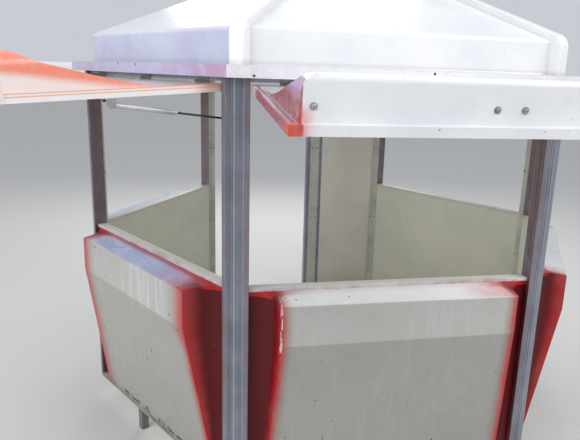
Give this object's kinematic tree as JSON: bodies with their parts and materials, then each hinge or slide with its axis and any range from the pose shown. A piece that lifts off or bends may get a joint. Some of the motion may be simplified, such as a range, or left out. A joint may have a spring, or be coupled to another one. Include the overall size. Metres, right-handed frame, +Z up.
{
  "type": "street kiosk",
  "caption": "Hexagonal street vending kiosk with moulded panels between metal posts, top-hinged flaps raised on gas struts, a doorway at the back and a shallow faceted roof.",
  "frame": {"origin": "on the ground, under the middle of the bounding box with the flaps raised; the middle of the hexagonal plan is 236 mm behind it", "axes": "+Z up, -Y out of the front serving side, +X to the right seen from the front, +Y towards the doorway side"},
  "size_m": [4.1702, 3.609, 2.7007],
  "materials": {
    "moulded_shell": "glossy gelcoat, sprayed red at the edges, worn",
    "post_metal": "dull extruded aluminium",
    "foot_metal": "dull grey paint",
    "lining_board": "matt faced board",
    "hinge_steel": "dull zinc-plated steel",
    "strut_rod_steel": "dark smooth rod",
    "strut_barrel_paint": "satin grey paint"
  },
  "bodies": {
    "root": {"feet": "foot_metal", "base_rails": "post_metal", "corner_post_right": "post_metal", "corner_post_back_right": "post_metal", "corner_post_back_left": "post_metal", "corner_post_left": "post_metal", "corner_post_front_left": "post_metal", "corner_post_front_right": "post_metal", "head_rails": "post_metal", "sill_rails": "post_metal", "front_panel": "moulded_shell", "right_front_panel": "moulded_shell", "right_back_panel": "moulded_shell", "left_back_panel": "moulded_shell", "left_front_panel": "moulded_shell", "wall_linings": "lining_board", "door_jamb_post": "post_metal", "back_fixed_panel": "moulded_shell", "cover_strips": "post_metal", "roof_front": "moulded_shell", "roof_right_front": "moulded_shell", "roof_right_back": "moulded_shell", "roof_back": "moulded_shell", "roof_left_back": "moulded_shell", "roof_left_front": "moulded_shell", "hip_caps": "moulded_shell", "roof_crown": "moulded_shell", "hinge_leaves": "hinge_steel", "strut_studs": "hinge_steel"},
    "front_flap": {"front_flap": "moulded_shell"},
    "front_strut_rod": {"front_strut_rod": "strut_rod_steel"},
    "front_strut_barrel": {"front_strut_barrel": "strut_barrel_paint"},
    "right_front_flap": {"right_front_flap": "moulded_shell"},
    "right_front_strut_rod": {"right_front_strut_rod": "strut_rod_steel"},
    "right_front_strut_barrel": {"right_front_strut_barrel": "strut_barrel_paint"},
    "right_back_flap": {"right_back_flap": "moulded_shell"},
    "right_back_strut_rod": {"right_back_strut_rod": "strut_rod_steel"},
    "right_back_strut_barrel": {"right_back_strut_barrel": "strut_barrel_paint"},
    "left_back_flap": {"left_back_flap": "moulded_shell"},
    "left_back_strut_rod": {"left_back_strut_rod": "strut_rod_steel"},
    "left_back_strut_barrel": {"left_back_strut_barrel": "strut_barrel_paint"},
    "left_front_flap": {"left_front_flap": "moulded_shell"},
    "left_front_strut_rod": {"left_front_strut_rod": "strut_rod_steel"},
    "left_front_strut_barrel": {"left_front_strut_barrel": "strut_barrel_paint"}
  },
  "joints": [
    {"name": "front_flap_hinge", "type": "hinge", "parent": "root", "child": "front_flap", "pos_m": [0, -0.98232, 1.931], "axis": [1, 0, 0], "range_deg": [0, 84.5]},
    {"name": "front_strut_swing", "type": "hinge", "parent": "root", "child": "front_strut_rod", "pos_m": [0.612, -0.93132, 1.787], "axis": [1, 0, 0], "range_deg": [0, 96.2]},
    {"name": "front_strut_stroke", "type": "slide", "parent": "front_strut_rod", "child": "front_strut_barrel", "axis": [0, 0.9964, -0.0853], "range_m": [0, 0.18911]},
    {"name": "right_front_flap_hinge", "type": "hinge", "parent": "root", "child": "right_front_flap", "pos_m": [1.0552, -0.37311, 1.931], "axis": [0.5, 0.866, 0], "range_deg": [0, 85.5]},
    {"name": "right_front_strut_swing", "type": "hinge", "parent": "root", "child": "right_front_strut_rod", "pos_m": [1.31703, 0.1824, 1.787], "axis": [0.5, 0.866, 0], "range_deg": [0, 97.07]},
    {"name": "right_front_strut_stroke", "type": "slide", "parent": "right_front_strut_rod", "child": "right_front_strut_barrel", "axis": [-0.8616, 0.4975, -0.1004], "range_m": [0, 0.19153]},
    {"name": "right_back_flap_hinge", "type": "hinge", "parent": "root", "child": "right_back_flap", "pos_m": [1.0552, 0.84533, 1.931], "axis": [-0.5, 0.866, 0], "range_deg": [0, 85.5]},
    {"name": "right_back_strut_swing", "type": "hinge", "parent": "root", "child": "right_back_strut_rod", "pos_m": [0.70503, 1.34984, 1.787], "axis": [-0.5, 0.866, 0], "range_deg": [0, 97.07]},
    {"name": "right_back_strut_stroke", "type": "slide", "parent": "right_back_strut_rod", "child": "right_back_strut_barrel", "axis": [-0.8616, -0.4975, -0.1004], "range_m": [0, 0.19153]},
    {"name": "left_back_flap_hinge", "type": "hinge", "parent": "root", "child": "left_back_flap", "pos_m": [-1.0552, 0.84533, 1.931], "axis": [-0.5, -0.866, 0], "range_deg": [0, 85.5]},
    {"name": "left_back_strut_swing", "type": "hinge", "parent": "root", "child": "left_back_strut_rod", "pos_m": [-1.31703, 0.28982, 1.787], "axis": [-0.5, -0.866, 0], "range_deg": [0, 97.07]},
    {"name": "left_back_strut_stroke", "type": "slide", "parent": "left_back_strut_rod", "child": "left_back_strut_barrel", "axis": [0.8616, -0.4975, -0.1004], "range_m": [0, 0.19153]},
    {"name": "left_front_flap_hinge", "type": "hinge", "parent": "root", "child": "left_front_flap", "pos_m": [-1.0552, -0.37311, 1.931], "axis": [0.5, -0.866, 0], "range_deg": [0, 87]},
    {"name": "left_front_strut_swing", "type": "hinge", "parent": "root", "child": "left_front_strut_rod", "pos_m": [-0.70503, -0.87761, 1.787], "axis": [0.5, -0.866, 0], "range_deg": [0, 98.38]},
    {"name": "left_front_strut_stroke", "type": "slide", "parent": "left_front_strut_rod", "child": "left_front_strut_barrel", "axis": [0.8594, 0.4962, -0.123], "range_m": [0, 0.19513]}
  ],
  "couplings": [
    {"joint": "front_strut_swing", "follows": "front_flap_hinge", "ratio": 1.1382},
    {"joint": "front_strut_stroke", "follows": "front_flap_hinge", "m_per_rad": 0.12821},
    {"joint": "right_front_strut_swing", "follows": "right_front_flap_hinge", "ratio": 1.1351},
    {"joint": "right_front_strut_stroke", "follows": "right_front_flap_hinge", "m_per_rad": 0.12834},
    {"joint": "right_back_strut_swing", "follows": "right_back_flap_hinge", "ratio": 1.1351},
    {"joint": "right_back_strut_stroke", "follows": "right_back_flap_hinge", "m_per_rad": 0.12834},
    {"joint": "left_back_strut_swing", "follows": "left_back_flap_hinge", "ratio": 1.1351},
    {"joint": "left_back_strut_stroke", "follows": "left_back_flap_hinge", "m_per_rad": 0.12834},
    {"joint": "left_front_strut_swing", "follows": "left_front_flap_hinge", "ratio": 1.1305},
    {"joint": "left_front_strut_stroke", "follows": "left_front_flap_hinge", "m_per_rad": 0.12849}
  ]
}
